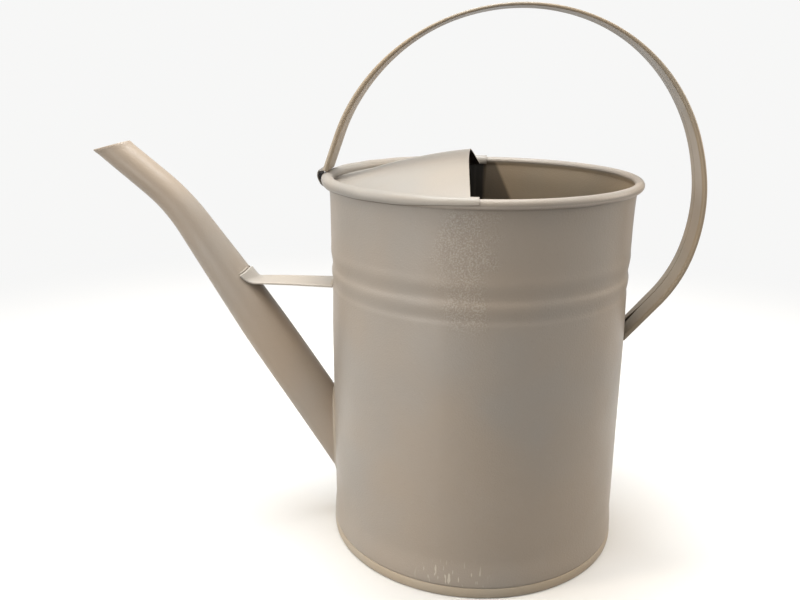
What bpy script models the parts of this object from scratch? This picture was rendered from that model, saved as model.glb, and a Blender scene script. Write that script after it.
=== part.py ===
# Sheet-metal watering can: round body with a rolled rim and two swaged grooves, half cover crimped
# over the rim on the spout side, long bent spout with a flat brace, and a folded-strip hoop handle.
# Metres, +Z up. The can stands on z = 0, the spout points to -X, the handle's foot is at +X.

import math

import bmesh
import bpy
import numpy as np
from mathutils import Vector

MM = 0.001

# Sheet and clearances
WALL_SHEET = 0.6 * MM
COVER_SHEET = 0.5 * MM
SPOUT_SHEET = 0.6 * MM
HANDLE_SHEET = 0.6 * MM
JOINT_GAP = 0.3 * MM          # between two pieces that touch on the real can

# Body
BODY_RADIUS = 75.3 * MM       # outside of the wall
BODY_HEIGHT = 192.3 * MM      # top of the rolled rim
RIM_TUBE = 4.6 * MM           # outside diameter of the rolled rim
RIM_INSET = 0.3 * MM          # how far the roll stands in past the wall's inside
RIM_ROLL_END = -100.0         # degrees, where the roll stops short of the wall
GROOVE_DEPTH = 0.5 * MM
GROOVE_WIDTH = 9.0 * MM
GROOVE_DROPS = (41.8 * MM, 51.3 * MM)   # middle of each groove below the rim's top

# Base
HEM_HEIGHT = 5.2 * MM
PAN_RECESS = 5.0 * MM         # height of the base disc above the ground
HEM_CORNER = 0.5 * MM

# Half cover
COVER_EDGE = 4.5 * MM         # how far the free edge stays on the spout side of the axis
COVER_RISE = 12.5 * MM        # height of the arched free edge over the valley at the rim
COVER_EDGE_SPAN = 0.985       # free edge's length as a share of the rim's width there
COVER_CONE = 0.72             # share of the rise that falls evenly towards the rim
COVER_FRONT_ANGLE = 270.0     # degrees round the body, where the crimp begins and ends
COVER_BACK_ANGLE = 88.0
CRIMP_START = 172.0           # degrees round the rolled rim, from the inside over the top
CRIMP_END = -65.0

# Spout
SPOUT_ROOT_HEIGHT = 49.3 * MM
SPOUT_ROOT_DIAMETER = 25.6 * MM
SPOUT_TAPER = 0.017           # lost diameter for each length
SPOUT_NECK_LOSS = 6.6 * MM    # extra diameter lost through the neck
SPOUT_NECK_START = 59.0 * MM
SPOUT_NECK_LENGTH = 111.0 * MM
SPOUT_MOUTH_LIFT = 11.6 * MM  # middle of the mouth above the rim's top
SPOUT_BEND_RADIUS = 97.0 * MM
SPOUT_TIP_LENGTH = 30.5 * MM
SPOUT_RISE = 57.0             # degrees above level, from the wall
SPOUT_TIP_RISE = 40.0         # degrees above level, at the mouth
MOUTH_TILT = 15.0             # degrees, the mouth drops towards its lip
SPOUT_HOLE_EDGE = 2.3 * MM    # wall left round the hole, inside the spout's bore

# Brace
BRACE_DROP = 1.9 * MM         # brace's upper face below the lower groove
BRACE_THICKNESS = 1.2 * MM
BRACE_BODY_WIDTH = 18.6 * MM
BRACE_NECK_WIDTH = 14.2 * MM
BRACE_EAR_WIDTH = 20.5 * MM
BRACE_FLARE = 8.0 * MM        # length over which the neck opens into the two ears
BRACE_EAR_REACH = 8.5 * MM    # how far the ears run past the spout's near side
BRACE_EDGE_ROUND = 0.3 * MM

# Handle
HANDLE_WIDTH = 22.0 * MM
HANDLE_THICKNESS = 2.2 * MM
HANDLE_SEAM = 3.5 * MM        # seam's place, behind the middle of the strip
HANDLE_SEAM_GAP = 0.8 * MM
HANDLE_BACK_REACH = 32.8 * MM     # hoop's back beyond the wall
HANDLE_CENTRE_DROP = 12.0 * MM    # hoop's centre below the rim's top
HANDLE_LEG_OUT = 1.2 * MM         # leg's outer face outside the middle of the rolled rim
HANDLE_LEG_ANGLE = 160.0      # degrees round the hoop, where the leg runs straight down
HANDLE_TURN_ANGLE = -15.0     # degrees, where the tighter back bend begins
HANDLE_FOOT_ANGLE = -40.0     # degrees, where the foot runs straight to the wall
HANDLE_FOOT_RADIUS = 70.0 * MM
HANDLE_LEG_CLEARANCE = 1.3 * MM   # leg's cut end above the crimped rim
TAB_WIDTH = 16.0 * MM
TAB_SHEET = 0.5 * MM
TAB_OVERLAP = 7.0 * MM        # how far the tab runs up inside the leg's outer layer
TAB_END = -65.0               # degrees round the rim, where the tab stops

# Solder
SOLDER_RADIUS = 0.8 * MM

# Fineness of the turned and swept pieces
TURN_STEPS = 64
ROUND_STEPS = 8
GROOVE_STEPS = 11
VAULT_ROWS = 35
VAULT_COLUMNS = 8
SPOUT_STEPS = 24
HOOP_STEPS = 44
FOOT_STEPS = 8
FOLD_STEPS = 5
SOLDER_STEPS = 9
ROOT_SOLDER_STEPS = 36
CLEARANCE_STEPS = 96
SHARP_ANGLE = math.radians(35)

# How far pieces run on past the face that cuts them off
SPOUT_ROOT_OVERRUN = 22 * MM
SPOUT_TIP_OVERRUN = 16 * MM
BRACE_OVERRUN = 8 * MM
FOOT_OVERRUN = 10 * MM
MOUTH_CUT_SIZE = 60 * MM

# Places that follow from the sizes above
wall_middle = BODY_RADIUS - WALL_SHEET / 2
rim_tube_radius = RIM_TUBE / 2
rim_centre_r = BODY_RADIUS - WALL_SHEET - RIM_INSET + rim_tube_radius
rim_centre_z = BODY_HEIGHT - rim_tube_radius
crimp_radius = rim_tube_radius + JOINT_GAP + COVER_SHEET / 2
crimp_outside = crimp_radius + COVER_SHEET / 2
hem_middle = BODY_RADIUS + JOINT_GAP + WALL_SHEET / 2
pan_skirt = BODY_RADIUS - WALL_SHEET - JOINT_GAP - WALL_SHEET / 2
wall_foot = WALL_SHEET + JOINT_GAP
groove_heights = [BODY_HEIGHT - drop for drop in GROOVE_DROPS]
brace_top = min(groove_heights) - GROOVE_WIDTH / 2 - BRACE_DROP

# Spout: the straight part is as long as the mouth's height asks for.
rise = math.radians(SPOUT_RISE)
tip_rise = math.radians(SPOUT_TIP_RISE)
spout_bend = rise - tip_rise
spout_bend_length = SPOUT_BEND_RADIUS * spout_bend
spout_bend_lift = SPOUT_BEND_RADIUS * (math.cos(tip_rise) - math.cos(rise))
spout_tip_lift = SPOUT_TIP_LENGTH * math.sin(tip_rise)
spout_lift = BODY_HEIGHT + SPOUT_MOUTH_LIFT - SPOUT_ROOT_HEIGHT
spout_straight = (spout_lift - spout_bend_lift - spout_tip_lift) / math.sin(rise)
spout_length = spout_straight + spout_bend_length + SPOUT_TIP_LENGTH

# Hoop: its circle's outer face touches the back reach, and its leg's line lands on the rim.
lean = math.radians(180.0 - HANDLE_LEG_ANGLE)
leg_end_z = rim_centre_z + crimp_outside + HANDLE_LEG_CLEARANCE
leg_end_x = -rim_centre_r - HANDLE_LEG_OUT
hoop_back_x = BODY_RADIUS + HANDLE_BACK_REACH
hoop_z = BODY_HEIGHT - HANDLE_CENTRE_DROP
hoop_span = hoop_back_x - leg_end_x - (hoop_z - leg_end_z) * math.tan(lean)
hoop_radius = hoop_span / (1 + 1 / math.cos(lean))
hoop_x = hoop_back_x - hoop_radius


def empty_scene():
    for obj in list(bpy.data.objects):
        bpy.data.objects.remove(obj, do_unlink=True)


def make_collection(name):
    collection = bpy.data.collections.new(name)
    bpy.context.scene.collection.children.link(collection)
    return collection


def make_material(name, colour, roughness, metallic):
    material = bpy.data.materials.new(name)
    material.use_nodes = True
    shader = material.node_tree.nodes["Principled BSDF"]
    shader.inputs["Base Color"].default_value = (*colour, 1.0)
    shader.inputs["Roughness"].default_value = roughness
    shader.inputs["Metallic"].default_value = metallic
    material.diffuse_color = (*colour, 1.0)
    return material


def add_object(name, data, collection, material=None):
    obj = bpy.data.objects.new(name, data)
    collection.objects.link(obj)
    obj.parent = can_axis
    if material is not None:
        data.materials.append(material)
    return obj


def add_cutter(name, mesh):
    cutter = add_object(name, mesh, cutters)
    cutter.hide_render = True
    cutter.display_type = "WIRE"
    return cutter


def smooth(obj):
    obj.data.shade_smooth()
    obj.data.set_sharp_from_angle(angle=SHARP_ANGLE)


def solidify(obj, thickness, offset=0.0):
    modifier = obj.modifiers.new("sheet", "SOLIDIFY")
    modifier.thickness = thickness
    modifier.offset = offset
    modifier.use_even_offset = True


def boolean(obj, cutter, operation="DIFFERENCE"):
    modifier = obj.modifiers.new(cutter.name, "BOOLEAN")
    modifier.object = cutter
    modifier.operation = operation
    modifier.solver = "EXACT"


def turned_sheet(name, profile, thickness, material):
    # A (radius, height) line at the middle of the sheet, turned about Z and thickened both ways.
    mesh = bpy.data.meshes.new(name)
    edges = [(i, i + 1) for i in range(len(profile) - 1)]
    mesh.from_pydata([(r, 0.0, z) for r, z in profile], edges, [])
    obj = add_object(name, mesh, can, material)
    screw = obj.modifiers.new("turn", "SCREW")
    screw.axis = "Z"
    screw.steps = TURN_STEPS
    screw.render_steps = TURN_STEPS
    screw.use_merge_vertices = True
    screw.merge_threshold = 0.00001
    screw.use_smooth_shade = True
    solidify(obj, thickness)
    return obj


def curve_mesh(name, points, depth, radii=None, resolution=3, caps=True, cyclic=False):
    # A round tube along the points, as a mesh whose caps are welded on.
    curve = bpy.data.curves.new(name, "CURVE")
    curve.dimensions = "3D"
    curve.bevel_depth = depth
    curve.bevel_resolution = resolution
    curve.use_fill_caps = caps
    spline = curve.splines.new("POLY")
    spline.points.add(len(points) - 1)
    for i, point in enumerate(points):
        spline.points[i].co = (*point, 1.0)
        spline.points[i].radius = 1.0 if radii is None else radii[i]
    spline.use_cyclic_u = cyclic
    return welded_mesh(name, curve)


def welded_mesh(name, curve):
    holder = bpy.data.objects.new(name + "_curve", curve)
    bpy.context.scene.collection.objects.link(holder)
    graph = bpy.context.evaluated_depsgraph_get()
    mesh = bpy.data.meshes.new_from_object(holder.evaluated_get(graph))
    bpy.data.objects.remove(holder, do_unlink=True)
    shape = bmesh.new()
    shape.from_mesh(mesh)
    bmesh.ops.remove_doubles(shape, verts=shape.verts, dist=0.00001)
    bmesh.ops.recalc_face_normals(shape, faces=shape.faces)
    shape.to_mesh(mesh)
    shape.free()
    mesh.name = name
    return mesh


def grid_mesh(name, *grids):
    # Quads through rows of points, for a sheet that no primitive or curve makes. Grids that share
    # an edge are welded along it, and a row that shrinks to one point becomes a fan.
    points = []
    faces = []
    for rows in grids:
        count = len(rows[0])
        base = len(points)
        points += [point for row in rows for point in row]
        for i in range(len(rows) - 1):
            for j in range(count - 1):
                a = base + i * count + j
                faces.append((a, a + 1, a + count + 1, a + count))
    mesh = bpy.data.meshes.new(name)
    mesh.from_pydata(points, [], faces)
    shape = bmesh.new()
    shape.from_mesh(mesh)
    bmesh.ops.remove_doubles(shape, verts=shape.verts, dist=0.00001)
    shape.to_mesh(mesh)
    shape.free()
    return mesh


# Body and base

def rim_point(angle, radius):
    # Point of the rim's round section: 0 degrees faces outwards, 90 degrees faces up.
    a = math.radians(angle)
    return rim_centre_r + radius * math.cos(a), rim_centre_z + radius * math.sin(a)


def groove_depth(z):
    depth = 0.0
    for height in groove_heights:
        away = abs(z - height)
        if away < GROOVE_WIDTH / 2:
            depth += GROOVE_DEPTH * math.cos(math.pi * away / GROOVE_WIDTH) ** 2
    return depth


def body_profile():
    roll_middle = rim_tube_radius - WALL_SHEET / 2
    roll_angles = np.linspace(RIM_ROLL_END, 180.0, ROUND_STEPS + 2)
    profile = [rim_point(angle, roll_middle) for angle in roll_angles]
    profile.append((wall_middle, rim_centre_z - rim_tube_radius))
    top = max(groove_heights) + GROOVE_WIDTH / 2
    bottom = min(groove_heights) - GROOVE_WIDTH / 2
    for z in np.linspace(top, bottom, GROOVE_STEPS):
        profile.append((wall_middle - groove_depth(z), z))
    profile.append((wall_middle, wall_foot))
    return profile


def make_body():
    body = turned_sheet("body_wall", body_profile(), WALL_SHEET, paint)
    start = spout_centre(-SPOUT_ROOT_OVERRUN)
    end = spout_centre(SPOUT_ROOT_OVERRUN)
    radius = SPOUT_ROOT_DIAMETER / 2 - SPOUT_SHEET - SPOUT_HOLE_EDGE
    hole = curve_mesh("spout_hole", [start, end], radius, resolution=6)
    boolean(body, add_cutter("spout_hole", hole))
    return body


def make_base():
    half = WALL_SHEET / 2
    profile = [
        (hem_middle, HEM_HEIGHT),
        (hem_middle, half + HEM_CORNER),
        (hem_middle - HEM_CORNER, half),
        (pan_skirt + HEM_CORNER, half),
        (pan_skirt, half + HEM_CORNER),
        (pan_skirt, PAN_RECESS - HEM_CORNER),
        (pan_skirt - HEM_CORNER, PAN_RECESS),
        (0.0, PAN_RECESS),
    ]
    return turned_sheet("base_pan", profile, WALL_SHEET, paint)


# Half cover

def make_cover():
    # A vault whose rows run from the arched free edge to the rim, and a crimp whose rows run on
    # from there over the roll and under it. The crimp reaches a little past the free edge.
    valley_r, valley_z = rim_point(CRIMP_START, crimp_radius)
    corner = math.degrees(math.asin(COVER_EDGE / valley_r))
    vault_angles = np.linspace(90.0 + corner, 270.0 - corner, VAULT_ROWS)
    vault = []
    for angle in np.radians(vault_angles):
        rim = Vector((math.cos(angle) * valley_r, math.sin(angle) * valley_r, 0.0))
        free = Vector((-COVER_EDGE, rim.y * COVER_EDGE_SPAN, 0.0))
        arch = COVER_RISE * (1 - (rim.y / valley_r) ** 2)
        row = []
        for b in np.linspace(0.0, 1.0, VAULT_COLUMNS):
            point = free.lerp(rim, b)
            fall = COVER_CONE * b + (1 - COVER_CONE) * b ** 3
            point.z = valley_z + arch * (1 - fall)
            row.append(point)
        vault.append(row)
    crimp = []
    for angle in np.radians([COVER_BACK_ANGLE, *vault_angles, COVER_FRONT_ANGLE]):
        row = []
        for turn in np.linspace(CRIMP_START, CRIMP_END, ROUND_STEPS + 1):
            r, z = rim_point(turn, crimp_radius)
            row.append(Vector((math.cos(angle) * r, math.sin(angle) * r, z)))
        crimp.append(row)
    cover = add_object("half_cover", grid_mesh("half_cover", vault, crimp), can, paint)
    smooth(cover)
    solidify(cover, COVER_SHEET)
    return cover


# Spout

def spout_centre(s):
    # Centre line by length from the wall: straight, then an even bend, then straight to the mouth.
    first = min(s, spout_straight)
    turned = min(max(s - spout_straight, 0.0) / SPOUT_BEND_RADIUS, spout_bend)
    last = max(s - spout_straight - spout_bend_length, 0.0)
    level = first * math.cos(rise) + last * math.cos(tip_rise)
    level += SPOUT_BEND_RADIUS * (math.sin(rise) - math.sin(rise - turned))
    lift = first * math.sin(rise) + last * math.sin(tip_rise)
    lift += SPOUT_BEND_RADIUS * (math.cos(rise - turned) - math.cos(rise))
    return Vector((-BODY_RADIUS - level, 0.0, SPOUT_ROOT_HEIGHT + lift))


def spout_radius(s):
    u = min(max((s - SPOUT_NECK_START) / SPOUT_NECK_LENGTH, 0.0), 1.0)
    neck = SPOUT_NECK_LOSS * u * u * (3 - 2 * u)
    return (SPOUT_ROOT_DIAMETER - SPOUT_TAPER * s - neck) / 2


def spout_tube_mesh(name, extra, caps):
    # The spout's outside, grown by extra, from inside the body to past the mouth.
    lengths = np.linspace(-SPOUT_ROOT_OVERRUN, spout_length + SPOUT_TIP_OVERRUN, SPOUT_STEPS)
    centres = [spout_centre(s) for s in lengths]
    radii = [(spout_radius(s) + extra) / MM for s in lengths]
    return curve_mesh(name, centres, MM, radii, resolution=ROUND_STEPS, caps=caps)


def make_spout():
    spout = add_object("spout_tube", spout_tube_mesh("spout_tube", 0.0, False), can, paint)
    smooth(spout)
    solidify(spout, SPOUT_SHEET, offset=-1.0)
    mouth = bpy.data.meshes.new("mouth_cut")
    shape = bmesh.new()
    bmesh.ops.create_cube(shape, size=MOUTH_CUT_SIZE)
    bmesh.ops.translate(shape, vec=(0.0, 0.0, MOUTH_CUT_SIZE / 2), verts=shape.verts)
    shape.to_mesh(mouth)
    shape.free()
    cutter = add_cutter("mouth_cut", mouth)
    cutter.location = spout_centre(spout_length)
    cutter.rotation_euler = (0.0, -math.radians(MOUTH_TILT), 0.0)
    boolean(spout, body_clearance)
    boolean(spout, cutter)
    return spout


def solve(function, low, high):
    # Where a rising function crosses zero.
    for _ in range(40):
        middle = (low + high) / 2
        if function(middle) < 0:
            low = middle
        else:
            high = middle
    return (low + high) / 2


def make_spout_solder():
    # A bead all round the spout's root, where its surface meets the wall's.
    off = JOINT_GAP + SOLDER_RADIUS
    upper = Vector((math.sin(rise), 0.0, math.cos(rise)))
    side = Vector((0.0, 1.0, 0.0))
    points = []
    for angle in np.linspace(0.0, 2 * math.pi, ROOT_SOLDER_STEPS, endpoint=False):
        around = upper * math.cos(angle) + side * math.sin(angle)

        def surface(s):
            return spout_centre(s) + around * (spout_radius(s) + off)

        s = solve(lambda t: surface(t).xy.length - BODY_RADIUS - off, -BODY_RADIUS / 2, BODY_RADIUS)
        points.append(surface(s))
    mesh = curve_mesh("spout_root_solder", points, SOLDER_RADIUS, resolution=2, caps=False, cyclic=True)
    solder = add_object("spout_root_solder", mesh, can, paint)
    smooth(solder)


# Brace

def spout_side(y, z, extra):
    # X of the spout's surface, grown by extra, on the body's side at this Y and height.
    lengths = np.linspace(0.0, spout_length, 400)
    centres = [spout_centre(s) for s in lengths]
    radii = [spout_radius(s) for s in lengths]

    def outside(x):
        point = Vector((x, y, z))
        return min((point - c).length - r for c, r in zip(centres, radii)) - extra

    middle = min(centres, key=lambda c: abs(c.z - z)).x
    return solve(outside, middle, -BODY_RADIUS)


def make_brace():
    near = spout_side(0.0, brace_top, 0.0)
    tip = near - BRACE_EAR_REACH
    neck = near + BRACE_FLARE * 0.75
    flare = near - BRACE_FLARE * 0.25
    inside_wall = -BODY_RADIUS + BRACE_OVERRUN
    half = [
        (inside_wall, BRACE_BODY_WIDTH / 2),
        (-BODY_RADIUS, BRACE_BODY_WIDTH / 2),
        (neck, BRACE_NECK_WIDTH / 2),
        (flare, BRACE_NECK_WIDTH / 2 + (BRACE_EAR_WIDTH - BRACE_NECK_WIDTH) / 5),
        (tip, BRACE_EAR_WIDTH / 2),
    ]
    outline = half + [(x, -y) for x, y in reversed(half)]
    curve = bpy.data.curves.new("spout_brace", "CURVE")
    curve.dimensions = "2D"
    curve.fill_mode = "BOTH"
    curve.extrude = BRACE_THICKNESS / 2 - BRACE_EDGE_ROUND
    curve.bevel_depth = BRACE_EDGE_ROUND
    curve.bevel_resolution = 1
    curve.offset = -BRACE_EDGE_ROUND
    spline = curve.splines.new("POLY")
    spline.points.add(len(outline) - 1)
    for point, (x, y) in zip(spline.points, outline):
        point.co = (x, y, 0.0, 1.0)
    spline.use_cyclic_u = True
    brace = add_object("spout_brace", welded_mesh("spout_brace", curve), can, paint)
    brace.location.z = brace_top - BRACE_THICKNESS / 2
    smooth(brace)
    clearance = add_cutter("spout_clearance", spout_tube_mesh("spout_clearance", JOINT_GAP, True))
    boolean(brace, body_clearance)
    boolean(brace, clearance)
    return brace


def solder_bead(name, points, radius=SOLDER_RADIUS):
    bead = add_object(name, curve_mesh(name, points, radius), can, paint)
    smooth(bead)


def make_brace_solder():
    off = JOINT_GAP + SOLDER_RADIUS
    z = brace_top + off
    for name, side in (("front", -1), ("rear", 1)):
        points = []
        for share in np.linspace(0.3, 1.1, SOLDER_STEPS):
            y = share * BRACE_NECK_WIDTH / 2
            points.append((spout_side(y, z, off), side * y, z))
        solder_bead("brace_ear_solder_" + name, points)
    points = []
    for y in np.linspace(-0.35, 0.35, SOLDER_STEPS) * BRACE_BODY_WIDTH:
        points.append((-math.sqrt((BODY_RADIUS + off) ** 2 - y * y), y, z))
    solder_bead("brace_wall_solder", points)


# Handle

def hoop_point(angle, radius, centre):
    a = math.radians(angle)
    return Vector((centre[0] + radius * math.cos(a), centre[1] + radius * math.sin(a)))


def handle_path(inset):
    # The hoop's line in the XZ plane, inset from its outer face: leg, hoop, back bend, foot.
    centre = (hoop_x, hoop_z)
    turn = hoop_point(HANDLE_TURN_ANGLE, hoop_radius - HANDLE_FOOT_RADIUS, centre)
    leg_top = hoop_point(HANDLE_LEG_ANGLE, hoop_radius - inset, centre)
    down = Vector((-math.sin(lean), -math.cos(lean)))
    length = (leg_end_z - leg_top.y) / down.y
    points = [leg_top + down * length * share for share in (1.0, 0.5)]
    for angle in np.linspace(HANDLE_LEG_ANGLE, HANDLE_TURN_ANGLE, HOOP_STEPS):
        points.append(hoop_point(angle, hoop_radius - inset, centre))
    for angle in np.linspace(HANDLE_TURN_ANGLE, HANDLE_FOOT_ANGLE, FOOT_STEPS)[1:]:
        points.append(hoop_point(angle, HANDLE_FOOT_RADIUS - inset, turn))
    a = math.radians(HANDLE_FOOT_ANGLE)
    inward = Vector((math.sin(a), -math.cos(a)))
    reach = (points[-1].x - BODY_RADIUS + FOOT_OVERRUN) / -inward.x
    points.append(points[-1] + inward * reach)
    return points


def plane_curve(name, points):
    # An open line drawn in the XY plane, whose Y becomes the object's height.
    curve = bpy.data.curves.new(name, "CURVE")
    curve.dimensions = "3D"
    curve.twist_mode = "Z_UP"
    spline = curve.splines.new("POLY")
    spline.points.add(len(points) - 1)
    for point, (x, y) in zip(spline.points, points):
        point.co = (x, y, 0.0, 1.0)
    return curve


def stand_up(mesh):
    # Turns what was drawn in the XY plane into the XZ plane.
    shape = bmesh.new()
    shape.from_mesh(mesh)
    for vert in shape.verts:
        vert.co = Vector((vert.co.x, -vert.co.z, vert.co.y))
    shape.to_mesh(mesh)
    shape.free()


def strip_section():
    # Middle line of the folded strip, X towards the hoop's middle and Y towards the front:
    # rear hem, rear fold, outer face, front fold, front hem.
    half = (HANDLE_THICKNESS - HANDLE_SHEET) / 2
    reach = HANDLE_WIDTH / 2 - HANDLE_SHEET / 2 - half
    points = [(half, -HANDLE_SEAM - HANDLE_SEAM_GAP / 2)]
    for a in np.radians(np.linspace(0.0, 180.0, FOLD_STEPS)):
        points.append((half * math.cos(a), -reach - half * math.sin(a)))
    for a in np.radians(np.linspace(180.0, 0.0, FOLD_STEPS)):
        points.append((half * math.cos(a), reach + half * math.sin(a)))
    points.append((half, -HANDLE_SEAM + HANDLE_SEAM_GAP / 2))
    return points


def make_handle():
    section = plane_curve("strip_section", strip_section())
    section_holder = bpy.data.objects.new("strip_section", section)
    path = plane_curve("handle_hoop", handle_path(HANDLE_THICKNESS / 2))
    path.bevel_mode = "OBJECT"
    path.bevel_object = section_holder
    mesh = welded_mesh("handle_hoop", path)
    bpy.data.objects.remove(section_holder, do_unlink=True)
    stand_up(mesh)
    handle = add_object("handle_hoop", mesh, can, paint)
    smooth(handle)
    solidify(handle, HANDLE_SHEET)
    boolean(handle, body_clearance)
    boolean(handle, make_tab(), "UNION")
    return handle


def make_tab():
    # The strip's outer layer carried on past the leg, outwards and round the crimped rim.
    layer = handle_path(HANDLE_SHEET / 2)[:2]
    up = (layer[1] - layer[0]).normalized()
    radius = crimp_outside + JOINT_GAP + TAB_SHEET / 2
    points = [layer[0] + up * TAB_OVERLAP, layer[0]]
    for angle in np.linspace(60.0, TAB_END, ROUND_STEPS):
        r, z = rim_point(angle, radius)
        points.append(Vector((-r, z)))
    curve = plane_curve("handle_tab", points)
    curve.extrude = TAB_WIDTH / 2
    mesh = welded_mesh("handle_tab", curve)
    stand_up(mesh)
    tab = add_cutter("handle_tab", mesh)
    solidify(tab, TAB_SHEET)
    return tab


def make_handle_solder():
    # A bead past the tab's end, in the corner under the crimp, and one under the foot on the wall.
    off = JOINT_GAP + SOLDER_RADIUS
    round_rim = crimp_outside + off
    past_tab = math.degrees((off + SOLDER_RADIUS / 4) / round_rim)
    r, z = rim_point(TAB_END - past_tab, round_rim)
    lines = np.linspace(-0.3, 0.3, SOLDER_STEPS) * TAB_WIDTH
    points = [(-math.sqrt(r * r - y * y), y, z) for y in lines]
    solder_bead("handle_rim_solder", points)
    top, bottom = handle_path(0.0)[-2:]
    slope = (top.y - bottom.y) / (top.x - bottom.x)
    drop = off * math.sqrt(1 + slope * slope)
    points = []
    for y in np.linspace(-0.35, 0.35, SOLDER_STEPS) * HANDLE_WIDTH:
        x = math.sqrt((BODY_RADIUS + off) ** 2 - y * y)
        points.append((x, y, bottom.y + (x - bottom.x) * slope - drop))
    solder_bead("handle_foot_solder", points)


def make_body_clearance():
    # The space that the wall takes up, with the gap that its neighbours keep from it.
    mesh = bpy.data.meshes.new("body_clearance")
    shape = bmesh.new()
    radius = BODY_RADIUS + JOINT_GAP
    depth = BODY_HEIGHT - RIM_TUBE * 2
    bmesh.ops.create_cone(
        shape,
        cap_ends=True,
        segments=CLEARANCE_STEPS,
        radius1=radius,
        radius2=radius,
        depth=depth,
    )
    shape.to_mesh(mesh)
    shape.free()
    cutter = add_cutter("body_clearance", mesh)
    cutter.location.z = depth / 2
    return cutter


def centre_on_origin():
    # Moves the can so that the origin is under the middle of its box, on the ground.
    bpy.context.view_layer.update()
    graph = bpy.context.evaluated_depsgraph_get()
    corners = []
    for part in can.objects:
        shown = part.evaluated_get(graph)
        corners += [shown.matrix_world @ vert.co for vert in shown.data.vertices]
    points = np.array(corners)
    low = points.min(axis=0)
    high = points.max(axis=0)
    can_axis.location = (-(low[0] + high[0]) / 2, -(low[1] + high[1]) / 2, -low[2])
    bpy.context.view_layer.update()


empty_scene()
can = make_collection("watering_can")
cutters = make_collection("cutters")
can_axis = bpy.data.objects.new("can_axis", None)
bpy.context.scene.collection.objects.link(can_axis)
paint = make_material("greige_paint", (0.36, 0.31, 0.25), 0.45, 0.0)
body_clearance = make_body_clearance()
make_body()
make_base()
make_cover()
make_spout()
make_spout_solder()
make_brace()
make_brace_solder()
make_handle()
make_handle_solder()
centre_on_origin()
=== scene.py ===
import math

import bmesh
import bpy
import numpy as np
from mathutils import Matrix, Vector


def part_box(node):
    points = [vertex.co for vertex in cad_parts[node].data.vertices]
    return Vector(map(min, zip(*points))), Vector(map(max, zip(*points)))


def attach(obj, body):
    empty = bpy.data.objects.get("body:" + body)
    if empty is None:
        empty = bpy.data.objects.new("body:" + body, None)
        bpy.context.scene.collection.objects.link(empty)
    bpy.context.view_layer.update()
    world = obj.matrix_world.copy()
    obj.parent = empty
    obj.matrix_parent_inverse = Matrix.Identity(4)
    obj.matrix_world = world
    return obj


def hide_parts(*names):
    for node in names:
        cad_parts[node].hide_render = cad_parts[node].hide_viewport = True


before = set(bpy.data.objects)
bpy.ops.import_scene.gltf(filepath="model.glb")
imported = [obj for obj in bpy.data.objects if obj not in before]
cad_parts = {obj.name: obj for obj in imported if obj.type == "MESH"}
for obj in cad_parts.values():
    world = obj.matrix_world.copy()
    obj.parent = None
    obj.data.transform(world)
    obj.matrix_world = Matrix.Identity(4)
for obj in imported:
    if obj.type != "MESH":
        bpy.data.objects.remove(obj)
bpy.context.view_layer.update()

mm = 0.001

# Where the can stands: its axis is the middle of the base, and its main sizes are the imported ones.
# All shapes below are worked out in millimetres about that axis, and placed at the very end.
baseLow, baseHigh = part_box("base_pan")
wallLow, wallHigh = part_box("body_wall")
handleLow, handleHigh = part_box("handle_hoop")
axisX = (baseLow.x + baseHigh.x) / 2
axisY = (baseLow.y + baseHigh.y) / 2
can = {
    "gap": 0.3,                                          # between neighbouring pieces
    "sheet": 0.6,
    "hemRadius": (baseHigh.x - baseLow.x) / 2 / mm,
    "rimTop": wallHigh.z / mm,
    "rimOut": (wallHigh.x - wallLow.x) / 2 / mm,
    "rimTube": 4.6,
    "coverSheet": 0.5,
}
can["wallRadius"] = can["hemRadius"] - can["sheet"] - can["gap"]
rimZ = can["rimTop"] - can["rimTube"] / 2
rimR = can["rimOut"] - can["rimTube"] / 2


# helpers for surfaces

def smoothStep(x, middle, width):
    # 0 below the middle, 1 above it, a cubic ramp of that width between
    t = np.clip((x - middle) / width + 0.5, 0, 1)
    return t * t * (3 - 2 * t)


def ripple(seed, waves, *axes):
    # slow unevenness: a sum of sines, each along its own seeded direction and phase, about -1 to 1
    rng = np.random.default_rng(seed)
    total = 0
    for _ in range(waves):
        pull = rng.normal(size=len(axes))
        total = total + np.sin(sum(p * a for p, a in zip(pull, axes)) + rng.uniform(0, 6.28))
    return total / math.sqrt(waves)


def offsetLine(line, distance):
    # a flat line moved sideways: each point goes that far along the normal of its neighbours' chord
    step = np.gradient(line, axis=0)
    step /= np.linalg.norm(step, axis=1)[:, None]
    return line + distance * np.stack([step[:, 1], -step[:, 0]], 1)


def roundEnd(first, second, count):
    # half circle from one point to the other, bulging to the right of the way between them
    middle = (first + second) / 2
    arm = first - middle
    side = np.array([-arm[1], arm[0]])
    turn = np.linspace(0, math.pi, count + 2)[1:-1, None]
    return middle + arm * np.cos(turn) + side * np.sin(turn)


def sheetSection(line, thickness, ends=(3, 3)):
    # closed outline of a bent sheet: its middle line moved half the thickness to either side,
    # joined by a half circle at each end
    outer = offsetLine(line, thickness / 2)
    inner = offsetLine(line, -thickness / 2)[::-1]
    parts = [outer, roundEnd(outer[-1], inner[0], ends[1]), inner]
    if ends[0]:
        parts.append(roundEnd(inner[-1], outer[0], ends[0]))
    return np.vstack(parts)


def turned(section, angles, shift=None):
    # a (radius, height) outline carried round the axis; shift(angle, height) moves the radius
    r = section[None, :, 0]
    z = section[None, :, 1] + 0 * angles[:, None]
    if shift is not None:
        r = r + shift(angles[:, None], z)
    a = angles[:, None]
    return np.stack([r * np.cos(a), r * np.sin(a), z], -1)


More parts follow.
